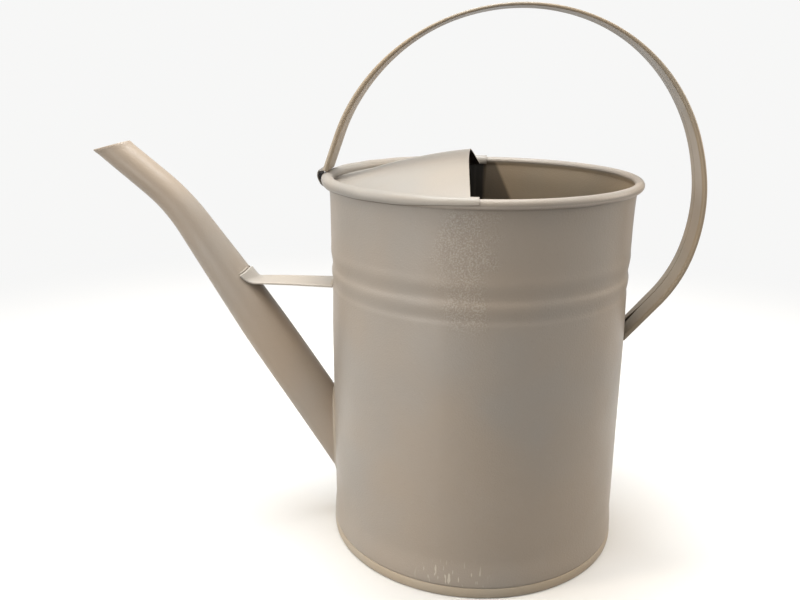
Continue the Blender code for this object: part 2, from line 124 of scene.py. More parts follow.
def gridFaces(rows, columns, closedRows=False, closedColumns=False):
    # quads between neighbours of a grid; a closed direction joins its last to its first
    index = np.arange(rows * columns).reshape(rows, columns)
    if closedRows:
        index = np.vstack([index, index[:1]])
    if closedColumns:
        index = np.hstack([index, index[:, :1]])
    quads = [index[:-1, :-1], index[1:, :-1], index[1:, 1:], index[:-1, 1:]]
    return np.stack(quads, -1).reshape(-1, 4)


def newPiece(name, points, faces, smoothAngle=40):
    # points in millimetres about the axis become a mesh in metres in the frame; doubles are
    # merged, so poles and seams close, and faces are turned outwards
    placed = points.reshape(-1, 3) * mm + (axisX, axisY, 0)
    mesh = bpy.data.meshes.new(name)
    mesh.from_pydata(placed.tolist(), [], [tuple(f) for f in faces])
    shape = bmesh.new()
    shape.from_mesh(mesh)
    bmesh.ops.remove_doubles(shape, verts=shape.verts, dist=2e-6)
    bmesh.ops.recalc_face_normals(shape, faces=shape.faces)
    shape.to_mesh(mesh)
    shape.free()
    mesh.shade_smooth()
    mesh.set_sharp_from_angle(angle=math.radians(smoothAngle))
    piece = bpy.data.objects.new(name, mesh)
    bpy.context.scene.collection.objects.link(piece)
    return piece


def sheetPiece(name, middle, thickness, edgeRound=0.35, smoothAngle=40):
    # a bent sheet from its middle surface: the grid moved half the thickness to both sides along
    # its normals, the two joined round the border by a row that bulges out like a rounded edge
    du = np.gradient(middle, axis=0)
    dv = np.gradient(middle, axis=1)
    normal = np.cross(du, dv)
    normal /= np.linalg.norm(normal, axis=2)[..., None]
    half = thickness / 2
    grown = np.pad(middle, ((1, 1), (1, 1), (0, 0)), mode="edge")
    bulge = thickness * edgeRound
    unit = lambda v: v / np.maximum(np.linalg.norm(v, axis=-1)[..., None], 1e-9)
    grown[0, 1:-1] -= bulge * unit(du[0])
    grown[-1, 1:-1] += bulge * unit(du[-1])
    grown[:, 0] -= bulge * unit(np.pad(dv[:, 0], ((1, 1), (0, 0)), mode="edge"))
    grown[:, -1] += bulge * unit(np.pad(dv[:, -1], ((1, 1), (0, 0)), mode="edge"))
    top = grown.copy()
    bottom = grown.copy()
    top[1:-1, 1:-1] += half * normal
    bottom[1:-1, 1:-1] -= half * normal
    rows, columns = grown.shape[:2]
    faces = gridFaces(rows, columns)
    points = np.concatenate([top.reshape(-1, 3), bottom.reshape(-1, 3)])
    return newPiece(name, points, np.vstack([faces, faces[:, ::-1] + rows * columns]), smoothAngle)


def finishPiece(piece, material, *nodes):
    piece.data.materials.clear()
    piece.data.materials.append(material)
    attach(piece, "root")
    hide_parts(*nodes)
    print("made", piece.name, len(piece.data.polygons), "faces")


# paint

paint = {
    "colour": (0.345, 0.302, 0.255),
    "warm": (0.358, 0.302, 0.243),      # towards which it drifts in broad patches
    "cool": (0.328, 0.30, 0.266),
    "roughness": 0.43,
    "grain": 0.75,                     # width of the orange peel, millimetres
    "grainHeight": 0.11,
}


def node(tree, kind, **values):
    made = tree.nodes.new(kind)
    for key, value in values.items():
        if hasattr(made, key):
            setattr(made, key, value)
        else:
            made.inputs[key.replace("_", " ")].default_value = value
    return made


def noise(tree, vector, scale, detail=2.0, roughness=0.5):
    made = node(tree, "ShaderNodeTexNoise", Scale=scale, Detail=detail, Roughness=roughness)
    tree.links.new(vector, made.inputs["Vector"])
    return made.outputs["Fac"]


def ramp(tree, value, low, high, to=(0.0, 1.0)):
    made = node(tree, "ShaderNodeMapRange", interpolation_type="SMOOTHSTEP")
    made.inputs["From Min"].default_value = low
    made.inputs["From Max"].default_value = high
    made.inputs["To Min"].default_value = to[0]
    made.inputs["To Max"].default_value = to[1]
    tree.links.new(value, made.inputs["Value"])
    return made.outputs["Result"]


def mixColour(tree, share, first, second):
    made = node(tree, "ShaderNodeMix", data_type="RGBA")
    for value, socket in ((share, 0), (first, 6), (second, 7)):
        if isinstance(value, tuple):
            made.inputs[socket].default_value = (*value, 1.0)
        elif isinstance(value, float):
            made.inputs[socket].default_value = value
        else:
            tree.links.new(value, made.inputs[socket])
    return made.outputs[2]


def maths(tree, operation, first, second):
    made = node(tree, "ShaderNodeMath", operation=operation)
    for value, socket in ((first, 0), (second, 1)):
        if isinstance(value, float):
            made.inputs[socket].default_value = value
        else:
            tree.links.new(value, made.inputs[socket])
    return made.outputs[0]


def moved(tree, vector, location, scale=(1, 1, 1)):
    made = node(tree, "ShaderNodeMapping")
    made.inputs["Location"].default_value = location
    made.inputs["Scale"].default_value = scale
    tree.links.new(vector, made.inputs["Vector"])
    return made.outputs["Vector"]


def paintMaterial(name, tint=(1, 1, 1), chips=0.0, body=False, roughness=0.0, grain=1.0, crimpEdgeShade=False):
    # baked-on greige paint: broad warm and cool drift, fine pale and dark specks, orange peel
    material = bpy.data.materials.new(name)
    material.use_nodes = True
    tree = material.node_tree
    shader = tree.nodes["Principled BSDF"]
    place = node(tree, "ShaderNodeTexCoord").outputs["Object"]
    drift = ramp(tree, noise(tree, place, 14.0), 0.35, 0.65)
    cloud = ramp(tree, noise(tree, place, 55.0, 3.0), 0.3, 0.7)
    specks = noise(tree, place, 900.0, 2.0)
    scaled = lambda colour, by=1.0: tuple(min(1.0, c * t * by) for c, t in zip(colour, tint))
    colour = mixColour(tree, drift, scaled(paint["cool"]), scaled(paint["warm"]))
    colour = mixColour(tree, maths(tree, "MULTIPLY", cloud, 0.35), colour, scaled(paint["colour"]))
    colour = mixColour(tree, ramp(tree, specks, 0.62, 0.8, (0.0, 0.35)), colour, scaled(paint["colour"], 0.82))
    colour = mixColour(tree, ramp(tree, specks, 0.36, 0.22, (0.0, 0.35)), colour, scaled(paint["colour"], 1.16))
    if chips:
        spots = noise(tree, place, 260.0, 4.0, 0.6)
        colour = mixColour(tree, ramp(tree, spots, 0.72, 0.76, (0.0, chips)), colour, (0.72, 0.66, 0.57))
    # painted shade: a dark line along the crimp's edge, where a shadow falls under it
    if crimpEdgeShade:
        mark = node(tree, "ShaderNodeAttribute", attribute_name="crimpEdgeShade")
        colour = mixColour(tree, maths(tree, "MULTIPLY", mark.outputs["Fac"], 0.85), colour, (0.10, 0.075, 0.05))
    grainGlintPatch = None
    if body:
        colour = addScratches(tree, place, colour)
        colour, grainGlintPatch = addGrainAndGlint(tree, place, colour)
        colour = addInside(tree, place, colour)
    tree.links.new(colour, shader.inputs["Base Color"])
    gloss = noise(tree, place, 35.0, 3.0)
    base = paint["roughness"] + roughness
    tree.links.new(ramp(tree, gloss, 0.3, 0.7, (base - 0.05, base + 0.06)), shader.inputs["Roughness"])
    shader.inputs["Specular IOR Level"].default_value = 0.5
    peel = noise(tree, place, 1000 / paint["grain"], 1.5, 0.55)
    coarse = noise(tree, place, 220.0, 2.0)
    height = maths(tree, "ADD", peel, maths(tree, "MULTIPLY", coarse, 0.6))
    if body:
        height = maths(tree, "MULTIPLY", height, ramp(tree, grainGlintPatch, 0.0, 1.0, (1.0, 2.0)))
    bump = node(tree, "ShaderNodeBump")
    bump.inputs["Strength"].default_value = 1.0
    bump.inputs["Distance"].default_value = paint["grainHeight"] * grain * mm
    tree.links.new(height, bump.inputs["Height"])
    tree.links.new(bump.outputs["Normal"], shader.inputs["Normal"])
    return material


def splitAxes(tree, place):
    axes = node(tree, "ShaderNodeSeparateXYZ")
    tree.links.new(place, axes.inputs["Vector"])
    return axes.outputs["X"], axes.outputs["Y"], axes.outputs["Z"]


def product(tree, *shares):
    total = shares[0]
    for share in shares[1:]:
        total = maths(tree, "MULTIPLY", total, share)
    return total


def addScratches(tree, place, colour):
    # pale upright scratches close above the hem at the front: noise drawn out upwards
    x, y, z = splitAxes(tree, place)
    drawn = moved(tree, place, (0.31, 0.17, 0.4), (1.0, 1.0, 0.2))
    marks = ramp(tree, noise(tree, drawn, 860.0, 1.0), 0.62, 0.72)
    across = product(tree, ramp(tree, x, axisX - 0.030, axisX - 0.014), ramp(tree, x, axisX + 0.013, axisX + 0.003))
    where = product(tree, ramp(tree, z, 0.022, 0.011), ramp(tree, y, -0.045, -0.068), across)
    return mixColour(tree, maths(tree, "MULTIPLY", product(tree, marks, where), 0.7), colour, (0.62, 0.57, 0.48))


def addGrainAndGlint(tree, place, colour):
    # an upright patch under the rim, a little left of the front, where the paint's grain is coarse; its pale and
    # dark specks are a painted highlight, the sparkle of light in that grain
    x, y, z = splitAxes(tree, place)
    edge = maths(tree, "MULTIPLY", maths(tree, "SUBTRACT", noise(tree, place, 90.0, 2.0), 0.5), 0.02)
    side = maths(tree, "ADD", x, edge)
    across = product(tree, ramp(tree, side, axisX - 0.020, axisX - 0.010), ramp(tree, side, axisX + 0.010, axisX + 0.001))
    upright = product(tree, ramp(tree, z, 0.126, 0.142), ramp(tree, z, 0.189, 0.184), ramp(tree, y, -0.05, -0.06))
    grainGlintPatch = product(tree, across, upright)
    grain = noise(tree, place, 1500.0, 1.0)
    # painted highlight: pale and dark specks stand for the glints in the coarse grain
    pale = maths(tree, "MULTIPLY", ramp(tree, grain, 0.52, 0.62), grainGlintPatch)
    dark = maths(tree, "MULTIPLY", ramp(tree, grain, 0.46, 0.36), grainGlintPatch)
    colour = mixColour(tree, maths(tree, "MULTIPLY", pale, 0.24), colour, (0.62, 0.58, 0.52))
    colour = mixColour(tree, maths(tree, "MULTIPLY", dark, 0.2), colour, (0.16, 0.13, 0.10))
    return colour, grainGlintPatch


inside = {
    "brown": (1.12, 1.02, 0.85),       # the inside's colour is made browner by this
    # shade beside and under the cover, painted in because the soft lights leave the inside too
    # bright; it isn't a colour of the real can, and it stays where it is under any other light
    "shade": (0.035, 0.028, 0.02), "shadeShare": 0.72,
    "shadeLean": 0.454,                # its edge leans this far sideways for each unit of height
    "shadeEdge": 0.1405, "shadeSoft": 0.0013,
    "deep": (0.012, 0.010, 0.008), "deepShare": 0.95, "deepEdge": 0.0015, "deepSoft": 0.001,
}


def addInside(tree, place, colour):
    # browner colour inside, and over it the painted-in shade beside and under the cover
    x, y, z = splitAxes(tree, place)
    fromAxis = moved(tree, place, (-axisX, -axisY, 0), (1, 1, 0))
    outward = node(tree, "ShaderNodeVectorMath", operation="DOT_PRODUCT")
    tree.links.new(fromAxis, outward.inputs[0])
    tree.links.new(node(tree, "ShaderNodeNewGeometry").outputs["Normal"], outward.inputs[1])
    within = product(tree, ramp(tree, outward.outputs["Value"], -0.02, -0.04), ramp(tree, z, 0.1905, 0.1885))
    brown = node(tree, "ShaderNodeMix", data_type="RGBA", blend_type="MULTIPLY")
    brown.inputs[0].default_value = 1.0
    tree.links.new(colour, brown.inputs[6])
    brown.inputs[7].default_value = (*inside["brown"], 1.0)
    line = maths(tree, "ADD", x, maths(tree, "MULTIPLY", z, inside["shadeLean"]))
    edge, soft = inside["shadeEdge"], inside["shadeSoft"]
    shade = ramp(tree, line, edge + soft, edge - soft, (0.0, inside["shadeShare"]))
    edge, soft = axisX + inside["deepEdge"], inside["deepSoft"]
    deep = ramp(tree, x, edge + soft, edge - soft, (0.0, inside["deepShare"]))
    dark = mixColour(tree, shade, brown.outputs[2], inside["shade"])
    dark = mixColour(tree, deep, dark, inside["deep"])
    colour = mixColour(tree, within, colour, dark)
    # the rolled rim's underside is painted paler, for light that no lamp here throws up on it
    radius = node(tree, "ShaderNodeVectorMath", operation="LENGTH")
    flat = moved(tree, fromAxis, (0, 0, 0), (1, 1, 0))
    tree.links.new(flat, radius.inputs[0])
    under = product(tree, ramp(tree, z, 0.1898, 0.1890), ramp(tree, radius.outputs["Value"], 0.0764, 0.0772))
    return mixColour(tree, maths(tree, "MULTIPLY", under, 0.75), colour, (0.56, 0.49, 0.43))


# the tints of the spout, handle, cover and solder paints below make lighter, darker and warmer copies of the one
# paint, each set to match the light on its piece: painted light and shade
bodyPaint = paintMaterial("greige_paint_body", tint=(1.0, 0.99, 0.985), body=True)
spoutPaint = paintMaterial("greige_paint_spout", tint=(1.04, 0.99, 0.94), chips=0.35, grain=0.7)
# painted light: the hem's copy of the paint is made lighter than the body's; its pale chips are wear
litHemPaint = paintMaterial("greige_paint_hem_lit", tint=(1.2, 1.15, 1.04), chips=0.8, grain=0.6)
# painted light: the brace's copy of the paint is made lighter, for the light from above on its top
litBracePaint = paintMaterial("greige_paint_brace_lit", tint=(1.22, 1.27, 1.32), chips=0.2, grain=0.4)
handlePaint = paintMaterial("greige_paint_handle", tint=(0.98, 0.9, 0.76), chips=0.3, grain=0.15)
coverPaint = paintMaterial("greige_paint_cover", tint=(0.95, 0.97, 0.99), chips=0.3, grain=0.7, crimpEdgeShade=True)
beadPaint = paintMaterial("greige_paint_over_solder", tint=(1.1, 1.08, 1.04), roughness=0.05, grain=0.5)
# the tab's copy of the paint is drawn at half its brightness
tabPaint = paintMaterial("darkened_tab_paint", tint=(0.5, 0.5, 0.5), chips=0.2, roughness=0.1)
shadedPaint = paintMaterial("shaded_cover_underside", tint=(0.06, 0.055, 0.05), roughness=0.1)
print("paint ready")


# body wall

wall = {
    "stepsAround": 300,
    "lean": 0.7,               # how far the wall leans out into the rolled rim
    "leanHeight": 5.0,
    # pressed rings, from the rim's top down: middle, height and change in radius of each slope
    "swages": ((35.0, 3.4, 0.14), (40.6, 7.0, -0.72), (45.9, 3.2, 0.5), (50.9, 5.8, -0.56),
               (55.0, 2.6, 0.24), (68.0, 26.0, 0.4)),
    "footFlare": 0.75,
    "footFlareMiddle": 13.5,
    "footFlareHeight": 13.0,
    "footTuck": 0.55,          # back in, where the hem takes hold
    "seamAngle": 90.5,         # the upright lap seam at the back, degrees
    "seamWidth": 5.5,
    "seamLift": 0.4,
    "dent": 0.14,
}


def wallShape(z):
    # change in the wall's radius by height: the lean under the rim, the rings, the flared foot
    drop = can["rimTop"] - z
    total = wall["lean"] * np.exp(-np.maximum(drop - can["rimTube"], 0) / wall["leanHeight"])
    for middle, height, change in wall["swages"]:
        total = total + change * smoothStep(drop, middle, height)
    flare = smoothStep(-z, -wall["footFlareMiddle"], wall["footFlareHeight"])
    tuck = smoothStep(-z, -5.7, 1.4)
    return total + wall["footFlare"] * flare - wall["footTuck"] * tuck


def wallUneven(angle, z):
    # the seam stands out in a flat strip, and the sheet is slightly out of round
    away = np.angle(np.exp(1j * (angle - math.radians(wall["seamAngle"])))) * can["wallRadius"]
    strip = 1 - smoothStep(np.abs(away), wall["seamWidth"] / 2, 0.8)
    calm = smoothStep(z, 14, 20) * smoothStep(-z, -rimZ + 14, 20)
    dents = ripple(5, 7, 1.6 * np.cos(angle), 1.6 * np.sin(angle), z / 42)
    return wall["seamLift"] * strip + wall["dent"] * dents * calm


def wallAngles():
    # even steps, with close ones across the seam
    seam = math.radians(wall["seamAngle"])
    reach = (wall["seamWidth"] / 2 + 1.2) / can["wallRadius"]
    fine = seam + np.linspace(-reach, reach, 17)
    rest = np.linspace(seam + reach, seam - reach + 2 * math.pi, wall["stepsAround"])[1:-1]
    return np.concatenate([fine, rest])


def bodyLine():
    # middle of the sheet: round the rim's roll, over its top, down the wall and into the hem
    half = can["sheet"] / 2
    turn = np.radians(np.linspace(-100, 178, 30))
    rollR = can["rimTube"] / 2 - half
    roll = np.stack([rimR + rollR * np.cos(turn), rimZ + rollR * np.sin(turn)], 1)
    heights = np.concatenate([
        np.linspace(rimZ - 1.5, 178, 10),
        np.linspace(176, 161, 6),
        np.linspace(159.5, 134.5, 40),
        np.linspace(132, 24, 24),
        np.linspace(22, 6.8, 14),
        np.linspace(6.4, 4.6, 6),
        np.array([3.6, 2.4, 1.2]),
    ])
    radius = can["wallRadius"] - half + wallShape(heights)
    return np.vstack([roll, np.stack([radius, heights], 1)])


section = sheetSection(bodyLine(), can["sheet"])
angles = wallAngles()
points = turned(section, angles, wallUneven)
bodyPiece = newPiece("can_body", points, gridFaces(*points.shape[:2], True, True), 50)
print("body wall", len(bodyPiece.data.polygons))


# base

base = {
    "hemHeight": 5.2,
    "bulge": 0.35,             # how far the hem's middle stands out past its edges
    "recess": 5.0,
    "dish": 0.8,
}


def baseLine():
    # middle of the sheet: down the hem's rounded outside, under the wall, up to the recessed disc
    half = can["sheet"] / 2
    top = base["hemHeight"]
    z = np.linspace(top - 0.1, 1.1, 12)
    out = can["hemRadius"] - half - base["bulge"] * ((z - 2.9) / 2.6) ** 2
    hem = np.stack([out, z], 1)
    skirt = can["wallRadius"] - can["sheet"] - can["gap"] - half
    turn = np.radians(np.linspace(0, -180, 12))
    mid = (hem[-1, 0] + skirt) / 2
    foot = np.stack([mid + (mid - skirt) * np.cos(turn), 1.1 + 0.8 * np.sin(turn)], 1)[1:]
    bend = np.radians(np.linspace(0, 90, 7))
    up = np.stack([skirt - 1.2 * (1 - np.cos(bend)), base["recess"] - 1.2 + 1.2 * np.sin(bend)], 1)
    r = np.linspace(skirt - 2.5, 0, 26)
    disc = np.stack([r, base["recess"] + base["dish"] * smoothStep(-r, -60, 8)], 1)
    return np.vstack([hem, foot, up, disc])


line = baseLine()
outer = offsetLine(line, can["sheet"] / 2)
inner = offsetLine(line, -can["sheet"] / 2)[::-1]
outer[-1, 0] = inner[0, 0] = 0
section = np.vstack([outer[::-1], roundEnd(inner[-1], outer[0], 4)[::-1], inner[::-1]])
points = turned(section, np.linspace(0, 2 * math.pi, 288, endpoint=False))
basePiece = newPiece("base_hem", points, gridFaces(*points.shape[:2], True), 50)


# half cover

cover = {
    "rise": 14.2,              # height of the free edge's middle over the valley at the rim
    "arch": 2.7,               # power of the arch from front to back
    "edge": -6.1,              # where the free edge stands in its middle
    "frontPull": 2.3,          # how far its front and back ends run forward of that
    "backPull": 5.2,
    "cone": 0.46,              # share of the crown that falls evenly towards the rim
    "fallPower": 1.8,          # the rest falls by this power
    "cornerShare": 0.99,
    "crimpFrom": 212, "crimpTo": -46,      # degrees round the rim's roll
    "crimpWave": 4,
    "bulge": 0.6,
    "crimpShort": 44,          # degrees that the crimp ends sooner at its front end
    "crimpBack": 87.7, "crimpFront": 269.8,
}


def coverPoints():
    # crown: a straight line from the free edge to the rim in plan, whose height falls from the arch
    # partly evenly and partly by a power; crimp: the same rows carried on round the roll
    gapR = can["rimTube"] / 2 + can["gap"] + can["coverSheet"] / 2
    first = math.radians(cover["crimpFrom"])
    valleyR = rimR + gapR * math.cos(first)
    valleyZ = rimZ + gapR * math.sin(first)
    corner = math.degrees(math.asin(5.0 / valleyR))
    angle = np.radians(np.linspace(90 + corner * 0.6, 270 - corner, 150))[:, None]
    rimY = np.sin(angle) * valleyR
    rimX = np.cos(angle) * valleyR
    share = rimY / valleyR
    pull = np.where(share > 0, cover["backPull"] * np.abs(share) ** 3.45,
                    cover["frontPull"] * share ** 2)
    freeX = cover["edge"] + pull
    freeY = rimY * cover["cornerShare"]
    b = np.concatenate([[0, 0.003], np.linspace(0.02, 1, 44)])[None, :]
    x = freeX + (rimX - freeX) * b
    y = freeY + (rimY - freeY) * b
    arch = cover["rise"] * (1 - np.abs(share) ** cover["arch"])
    fall = 1 - cover["cone"] * b - (1 - cover["cone"]) * b ** cover["fallPower"]
    valley = valleyZ + arch * fall
    sag = 0.25 * ripple(11, 5, x / 16, y / 16) * np.sin(np.pi * b) * (1 - share ** 4)
    toLeft = smoothStep(-x, 58, 26) * smoothStep(y, 2, 50)
    dip = 2.4 * toLeft * np.sin(np.pi * b)
    crown = np.stack([x, y, valley + sag - dip], -1)
    back, front = np.radians(cover["crimpBack"]), np.radians(cover["crimpFront"])
    ends = [[[back], [back + 0.004]], [[front - 0.004], [front]]]
    crimpAngle = np.vstack([ends[0], angle, ends[1]])
    t = np.concatenate([np.linspace(0, 0.952, 27), [0.964, 0.985, 0.995, 1]])[None, :]
    nearEnd = smoothStep(np.degrees(crimpAngle), 252, 40)
    wave = cover["crimpWave"] * ripple(3, 6, crimpAngle * 9) + cover["crimpShort"] * nearEnd
    turn = first + np.radians(cover["crimpTo"] - cover["crimpFrom"] + wave * t ** 3) * t
    press = 0.10 * ripple(8, 5, crimpAngle * 14, turn) * np.sin(np.pi * t)
    tight = 0.2 * smoothStep(-np.degrees(turn), -80, 60)       # it lies closer to the rim outside
    # at the far left it bulges over the handle's tab
    over = cover["bulge"] * np.exp(-((np.degrees(crimpAngle) - 180) / 11) ** 2)
    r = rimR + (gapR + press - tight + over * np.sin(np.pi * t)) * np.cos(turn)
    z = rimZ + (gapR + press - tight) * np.sin(turn)
    crimp = np.stack([r * np.cos(crimpAngle), r * np.sin(crimpAngle), z], -1)
    crimp[2:-2, 0] = crown[:, -1]
    return crown, crimp


def markCrimpEdgeShade():
    # 1 on the last rows of the crimp, where a dark line of painted shade stands for the shadow under its edge; 0
    # elsewhere
    mesh = coverPiece.data
    placed = np.empty(len(mesh.vertices) * 3)
    mesh.vertices.foreach_get("co", placed)
    placed = placed.reshape(-1, 3)
    last = crimp[:, -4:].reshape(-1, 3) * mm + (axisX, axisY, 0)
    share = np.zeros(len(placed))
    for start in range(0, len(placed), 2000):
        part = placed[start:start + 2000]
        near = np.abs(part[:, None] - last[None]).max(2).min(1) < 1e-5
        share[start:start + 2000] = near
    layer = mesh.attributes.new("crimpEdgeShade", "FLOAT", "POINT")
    layer.data.foreach_set("value", share)
    # the side that faces up or outwards is the painted one
    upward = sum(face.normal.z * face.area for face in mesh.polygons if face.center.z > 0.193)
    if upward < 0:
        mesh.flip_normals()


crown, crimp = coverPoints()
crownFaces = gridFaces(*crown.shape[:2])
crimpFaces = gridFaces(*crimp.shape[:2]) + crown[..., 0].size
both = np.concatenate([crown.reshape(-1, 3), crimp.reshape(-1, 3)])
coverPiece = newPiece("half_cover_sheet", both, np.vstack([crownFaces, crimpFaces]), 60)
solid = coverPiece.modifiers.new("sheet", "SOLIDIFY")
solid.thickness = can["coverSheet"] * mm
solid.offset = 0
solid.use_even_offset = True
solid.material_offset = 1
markCrimpEdgeShade()


# spout

spout = {
    "rootHeight": 49.3, "rootDiameter": 25.6,
    "taper": 0.017, "neckLoss": 6.6, "neckStart": 59.0, "neckLength": 111.0,
    "rise": 57.0, "tipRise": 40.0, "bendRadius": 97.0, "tipLength": 29.7,
    "mouthLift": 11.6, "mouthTilt": 15.0,
    "sheet": 0.6,
    "seamLift": 0.25, "seamWidth": 3.4,
    "lip": 0.55,               # radius of the rolled edge at the mouth
}
rise, tipRise = math.radians(spout["rise"]), math.radians(spout["tipRise"])
bend = rise - tipRise
bendLength = spout["bendRadius"] * bend
lift = can["rimTop"] + spout["mouthLift"] - spout["rootHeight"]
lift -= spout["bendRadius"] * (math.cos(tipRise) - math.cos(rise))
lift -= spout["tipLength"] * math.sin(tipRise)
straight = lift / math.sin(rise)
spoutLength = straight + bendLength + spout["tipLength"]


def spoutCentre(s):
    # straight up the slope, then an arc that turns down to the tip's slope, then straight
    first = np.minimum(s, straight)
    turned = np.clip((s - straight) / spout["bendRadius"], 0, bend)
    last = np.maximum(s - straight - bendLength, 0)
    level = first * math.cos(rise) + last * math.cos(tipRise)
    level = level + spout["bendRadius"] * (math.sin(rise) - np.sin(rise - turned))
    up = first * math.sin(rise) + last * math.sin(tipRise)
    up = up + spout["bendRadius"] * (np.cos(rise - turned) - math.cos(rise))
    slope = rise - turned
    return -can["wallRadius"] - level, spout["rootHeight"] + up, slope


def spoutRadius(s):
    # an even taper, and a further loss spread over the neck by a smooth step
    middle = spout["neckStart"] + spout["neckLength"] / 2
    neck = spout["neckLoss"] * smoothStep(s, middle, spout["neckLength"])
    return (spout["rootDiameter"] - spout["taper"] * s - neck) / 2


def spoutPoint(s, around, extra=0.0):
    # around is 0 on the upper side and half a turn on the underside, where the seam runs
    x, z, slope = spoutCentre(s)
    r = spoutRadius(s) + extra
    up = r * np.cos(around)
    return np.stack([x + up * np.sin(slope), r * np.sin(around) + 0 * x, z + up * np.cos(slope)], -1)


def halve(function, low, high):
    # where a rising function of s crosses nothing, for every element at once
    for _ in range(36):
        middle = (low + high) / 2
        below = function(middle) < 0
        low = np.where(below, middle, low)
        high = np.where(below, high, middle)
    return (low + high) / 2


def spoutMeetsWall(around, extra, off):
    # s where the spout's skin, grown by extra, is that far off the wall
    def outside(s):
        p = spoutPoint(s, around, extra)
        return np.hypot(p[..., 0], p[..., 1]) - can["wallRadius"] - off
    return halve(outside, np.full_like(around, -40.0), np.full_like(around, 60.0))


def spoutPiece():
    around = np.linspace(0, 2 * math.pi, 96, endpoint=False)
    start = spoutMeetsWall(around, 0.0, can["gap"])
    centreX, centreZ, slope = spoutCentre(np.array(spoutLength))
    tilt = math.radians(spout["mouthTilt"])
    normal = np.array([-math.sin(tilt), 0, math.cos(tilt)])
    middle = np.array([centreX, 0, centreZ])

    def pastMouth(s):
        return (spoutPoint(s, around) - middle) @ normal

    end = halve(pastMouth, np.full_like(around, spoutLength - 40), np.full_like(around, spoutLength + 30))
    t = np.concatenate([np.linspace(0, 0.93, 110), np.linspace(0.935, 1, 12)])[:, None]
    even = spoutLength * t
    nearRoot = 1 - smoothStep(t, 0.1, 0.2)
    nearTip = smoothStep(t, 0.86, 0.28)
    s = even + (start - 0) * nearRoot + (end - spoutLength) * nearTip
    fromEnd = np.maximum(end - s, 0)
    away = np.angle(np.exp(1j * (around - math.pi)))[None, :] * spoutRadius(s)
    seam = spout["seamLift"] * (1 - smoothStep(np.abs(away), spout["seamWidth"] / 2, 0.8))
    seam = seam * smoothStep(fromEnd, 5, 4)
    lip = spout["lip"] * np.exp(-((fromEnd - 0.7) / 0.9) ** 2) * 0.45
    uneven = 0.10 * ripple(21, 6, s / 22, np.cos(around)[None, :] * 1.5, np.sin(around)[None, :] * 1.5)
    outer = spoutPoint(s, around[None, :], seam + lip + uneven)
    inner = spoutPoint(s, around[None, :], seam * 0 - spout["sheet"] + uneven)[::-1]
    turn = np.linspace(0, math.pi, 6)[1:-1, None, None]
    middleRing = (outer[-1] + inner[0]) / 2
    arm = outer[-1] - middleRing
    along = outer[-1] - outer[-2]
    along /= np.linalg.norm(along, axis=1)[:, None]
    reach = np.linalg.norm(arm, axis=1)[:, None] * along
    edge = middleRing + arm * np.cos(turn) + reach * np.sin(turn)
    rings = np.concatenate([outer, edge, inner])
    return newPiece("spout_tube_skin", rings, gridFaces(*rings.shape[:2], True, True), 50)


spoutSkin = spoutPiece()


# hole in the wall behind the spout

def cutHole():
    around = np.linspace(0, 2 * math.pi, 72, endpoint=False)[None, :]
    s = np.array([-24.0, 24.0])[:, None]
    tube = spoutPoint(s + 0 * around, around + 0 * s, -spout["sheet"] - 2.0)
    rings = np.concatenate([tube, tube.mean(1, keepdims=True).repeat(72, 1)[::-1]])
    plug = newPiece("spout_hole", rings, gridFaces(*rings.shape[:2], True, True))
    cut = bodyPiece.modifiers.new("hole", "BOOLEAN")
    cut.object = plug
    cut.operation = "DIFFERENCE"
    graph = bpy.context.evaluated_depsgraph_get()
    mesh = bpy.data.meshes.new_from_object(bodyPiece.evaluated_get(graph))
    bodyPiece.modifiers.clear()
    bodyPiece.data = mesh
    bpy.data.objects.remove(plug)


cutHole()
finishPiece(bodyPiece, bodyPaint, "body_wall")
finishPiece(basePiece, litHemPaint, "base_pan")
finishPiece(coverPiece, coverPaint, "half_cover")
coverPiece.data.materials.append(shadedPaint)
finishPiece(spoutSkin, spoutPaint, "spout_tube")


# solder, painted over

def filletRing(name, corner, towardsA, towardsB, closed, sink=0.25, steps=9):
    # a hollow fillet along a corner line: its face bows from A to B towards the corner as a
    # quadratic curve, and its back is sunk a little behind the corner
    t = np.linspace(0, 1, steps)[None, :, None]
    a = (corner + towardsA)[:, None]
    b = (corner + towardsB)[:, None]
    c = (corner + 0.22 * (towardsA + towardsB))[:, None]
    face = a * (1 - t) ** 2 + 2 * c * t * (1 - t) + b * t ** 2
    back = corner[:, None] - sink * (towardsA + towardsB)[:, None] / 2
    rings = np.concatenate([face, back], 1)
    faces = gridFaces(*rings.shape[:2], closed, True)
    if closed:
        return newPiece(name, rings, faces, 60)
    count = rings.shape[1]
    caps = [list(range(count))[::-1], list(range((len(rings) - 1) * count, len(rings) * count))]
    return newPiece(name, rings, [*faces.tolist(), *caps], 60)


def spoutRootFillet():
    around = np.linspace(0, 2 * math.pi, 140, endpoint=False)
    size = 2.3 + 0.5 * ripple(31, 5, np.cos(around) * 3, np.sin(around) * 3)
    s = spoutMeetsWall(around, 0.05, 0.05)
    corner = spoutPoint(s, around, 0.05)
    alongSpout = spoutPoint(s + size, around, 0.05) - corner
    grown = spoutPoint(spoutMeetsWall(around, 0.05 + size, 0.05), around, 0.05 + size)
    alongWall = grown - corner
    return filletRing("spout_root_fillet", corner, alongSpout, alongWall, True)


finishPiece(spoutRootFillet(), beadPaint, "spout_root_solder")


# brace

brace = {
    "drop": 57.7,              # its upper face below the rim's top
    "sheet": 1.2,
    "bodyWidth": 18.6, "neckWidth": 14.2, "earWidth": 17.2,
    "flare": 9.0,              # length over which the neck opens into the two ears
    "lift": 6.5,               # how far its end climbs the spout
    "liftLength": 8.0,
    "hem": 0.35,               # folded edges stand up by this
}
braceTop = can["rimTop"] - brace["drop"]


